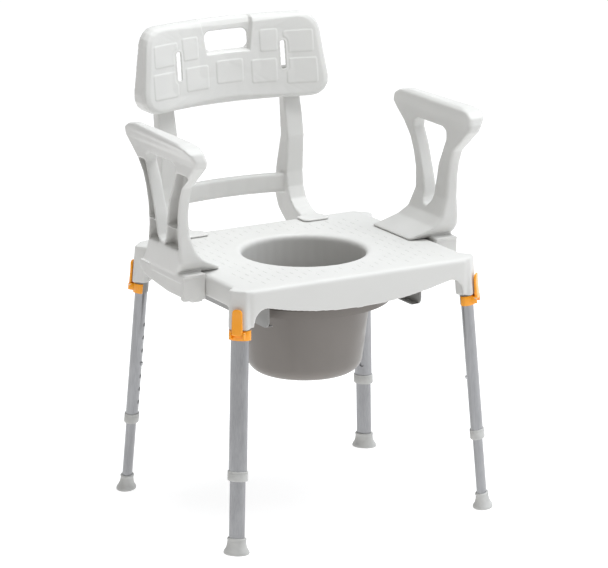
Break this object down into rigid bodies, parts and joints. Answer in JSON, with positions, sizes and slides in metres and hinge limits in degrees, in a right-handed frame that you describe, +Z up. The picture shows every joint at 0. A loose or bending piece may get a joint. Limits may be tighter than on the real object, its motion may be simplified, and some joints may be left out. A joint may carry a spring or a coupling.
{
  "type": "commode chair",
  "caption": "Moulded commode chair on height-adjustable splayed legs, with a round seat opening, slide-out bucket, lift-off arms and a lift-off curved backrest.",
  "frame": {"origin": "on the floor, under the middle of the chair's bounding box", "axes": "+Z up, -Y the way the sitter faces, +X to the right when the chair is looked at from the front"},
  "size_m": [0.6222, 0.5486, 0.853],
  "materials": {
    "white_plastic": "fine satin texture",
    "grey_plastic": "satin",
    "bucket_plastic": "satin",
    "orange_plastic": "smooth",
    "anodised_aluminium": "satin anodised",
    "foot_plastic": "matt",
    "steel": "plain"
  },
  "bodies": {
    "seat": {"seat_shell": "white_plastic", "arm_socket_left": "white_plastic", "arm_socket_right": "white_plastic", "bucket_runner_left": "grey_plastic", "bucket_runner_right": "grey_plastic", "runner_screw_left_1": "steel", "runner_screw_left_2": "steel", "runner_screw_right_1": "steel", "runner_screw_right_2": "steel", "socket_sleeve_front_left": "grey_plastic", "clip_band_front_left": "orange_plastic", "lever_pin_front_left": "steel", "socket_sleeve_front_right": "grey_plastic", "clip_band_front_right": "orange_plastic", "lever_pin_front_right": "steel", "socket_sleeve_rear_left": "grey_plastic", "clip_band_rear_left": "orange_plastic", "lever_pin_rear_left": "steel", "socket_sleeve_rear_right": "grey_plastic", "clip_band_rear_right": "orange_plastic", "lever_pin_rear_right": "steel"},
    "upper_leg_front_left": {"upper_tube_front_left": "anodised_aluminium", "collar_front_left": "foot_plastic"},
    "lower_leg_front_left": {"lower_tube_front_left": "anodised_aluminium", "foot_front_left": "foot_plastic", "button_spring_front_left": "steel"},
    "snap_button_front_left": {"snap_button_front_left": "steel"},
    "clip_lever_front_left": {"clip_lever_front_left": "orange_plastic"},
    "upper_leg_front_right": {"upper_tube_front_right": "anodised_aluminium", "collar_front_right": "foot_plastic"},
    "lower_leg_front_right": {"lower_tube_front_right": "anodised_aluminium", "foot_front_right": "foot_plastic", "button_spring_front_right": "steel"},
    "snap_button_front_right": {"snap_button_front_right": "steel"},
    "clip_lever_front_right": {"clip_lever_front_right": "orange_plastic"},
    "upper_leg_rear_left": {"upper_tube_rear_left": "anodised_aluminium", "collar_rear_left": "foot_plastic"},
    "lower_leg_rear_left": {"lower_tube_rear_left": "anodised_aluminium", "foot_rear_left": "foot_plastic", "button_spring_rear_left": "steel"},
    "snap_button_rear_left": {"snap_button_rear_left": "steel"},
    "clip_lever_rear_left": {"clip_lever_rear_left": "orange_plastic"},
    "upper_leg_rear_right": {"upper_tube_rear_right": "anodised_aluminium", "collar_rear_right": "foot_plastic"},
    "lower_leg_rear_right": {"lower_tube_rear_right": "anodised_aluminium", "foot_rear_right": "foot_plastic", "button_spring_rear_right": "steel"},
    "snap_button_rear_right": {"snap_button_rear_right": "steel"},
    "clip_lever_rear_right": {"clip_lever_rear_right": "orange_plastic"},
    "arm_left": {"arm_left": "white_plastic"},
    "arm_right": {"arm_right": "white_plastic"},
    "backrest": {"backrest_frame": "white_plastic", "back_panel": "white_plastic", "panel_screw_left_1": "steel", "panel_screw_left_2": "steel", "panel_screw_right_1": "steel", "panel_screw_right_2": "steel"},
    "bucket": {"bucket": "bucket_plastic"}
  },
  "joints": [
    {"name": "leg_pull_front_left", "type": "slide", "parent": "seat", "child": "upper_leg_front_left", "axis": [-0.0596, -0.066, -0.996], "range_m": [0, 0.12]},
    {"name": "height_front_left", "type": "slide", "parent": "upper_leg_front_left", "child": "lower_leg_front_left", "axis": [-0.0596, -0.066, -0.996], "range_m": [-0.075, 0.075]},
    {"name": "button_press_front_left", "type": "slide", "parent": "lower_leg_front_left", "child": "snap_button_front_left", "axis": [-0.7046, -0.704, 0.0888], "range_m": [0, 0.0045], "stiffness_N_per_m": 900, "springref_m": -0.004, "deforming": ["button_spring_front_left"]},
    {"name": "lever_swing_front_left", "type": "hinge", "parent": "seat", "child": "clip_lever_front_left", "pos_m": [-0.24856, -0.24038, 0.39893], "axis": [0.7071, -0.7071, 0.0046], "range_deg": [0, 100]},
    {"name": "leg_pull_front_right", "type": "slide", "parent": "seat", "child": "upper_leg_front_right", "axis": [0.0596, -0.066, -0.996], "range_m": [0, 0.12]},
    {"name": "height_front_right", "type": "slide", "parent": "upper_leg_front_right", "child": "lower_leg_front_right", "axis": [0.0596, -0.066, -0.996], "range_m": [-0.075, 0.075]},
    {"name": "button_press_front_right", "type": "slide", "parent": "lower_leg_front_right", "child": "snap_button_front_right", "axis": [0.7046, -0.704, 0.0888], "range_m": [0, 0.0045], "stiffness_N_per_m": 900, "springref_m": -0.004, "deforming": ["button_spring_front_right"]},
    {"name": "lever_swing_front_right", "type": "hinge", "parent": "seat", "child": "clip_lever_front_right", "pos_m": [0.24856, -0.24038, 0.39893], "axis": [0.7071, 0.7071, -0.0046], "range_deg": [0, 100]},
    {"name": "leg_pull_rear_left", "type": "slide", "parent": "seat", "child": "upper_leg_rear_left", "axis": [-0.0596, 0.066, -0.996], "range_m": [0, 0.12]},
    {"name": "height_rear_left", "type": "slide", "parent": "upper_leg_rear_left", "child": "lower_leg_rear_left", "axis": [-0.0596, 0.066, -0.996], "range_m": [-0.075, 0.075]},
    {"name": "button_press_rear_left", "type": "slide", "parent": "lower_leg_rear_left", "child": "snap_button_rear_left", "axis": [-0.7046, 0.704, 0.0888], "range_m": [0, 0.0045], "stiffness_N_per_m": 900, "springref_m": -0.004, "deforming": ["button_spring_rear_left"]},
    {"name": "lever_swing_rear_left", "type": "hinge", "parent": "seat", "child": "clip_lever_rear_left", "pos_m": [-0.24856, 0.15756, 0.39893], "axis": [-0.7071, -0.7071, -0.0046], "range_deg": [0, 100]},
    {"name": "leg_pull_rear_right", "type": "slide", "parent": "seat", "child": "upper_leg_rear_right", "axis": [0.0596, 0.066, -0.996], "range_m": [0, 0.12]},
    {"name": "height_rear_right", "type": "slide", "parent": "upper_leg_rear_right", "child": "lower_leg_rear_right", "axis": [0.0596, 0.066, -0.996], "range_m": [-0.075, 0.075]},
    {"name": "button_press_rear_right", "type": "slide", "parent": "lower_leg_rear_right", "child": "snap_button_rear_right", "axis": [0.7046, 0.704, 0.0888], "range_m": [0, 0.0045], "stiffness_N_per_m": 900, "springref_m": -0.004, "deforming": ["button_spring_rear_right"]},
    {"name": "lever_swing_rear_right", "type": "hinge", "parent": "seat", "child": "clip_lever_rear_right", "pos_m": [0.24856, 0.15756, 0.39893], "axis": [-0.7071, 0.7071, 0.0046], "range_deg": [0, 100]},
    {"name": "arm_lift_left", "type": "slide", "parent": "seat", "child": "arm_left", "axis": [0, 0, 1], "range_m": [0, 0.1]},
    {"name": "arm_lift_right", "type": "slide", "parent": "seat", "child": "arm_right", "axis": [0, 0, 1], "range_m": [0, 0.1]},
    {"name": "backrest_lift", "type": "slide", "parent": "seat", "child": "backrest", "axis": [0, 0, 1], "range_m": [0, 0.12]},
    {"name": "bucket_slide", "type": "slide", "parent": "seat", "child": "bucket", "axis": [0, 1, 0], "range_m": [0, 0.5]}
  ]
}
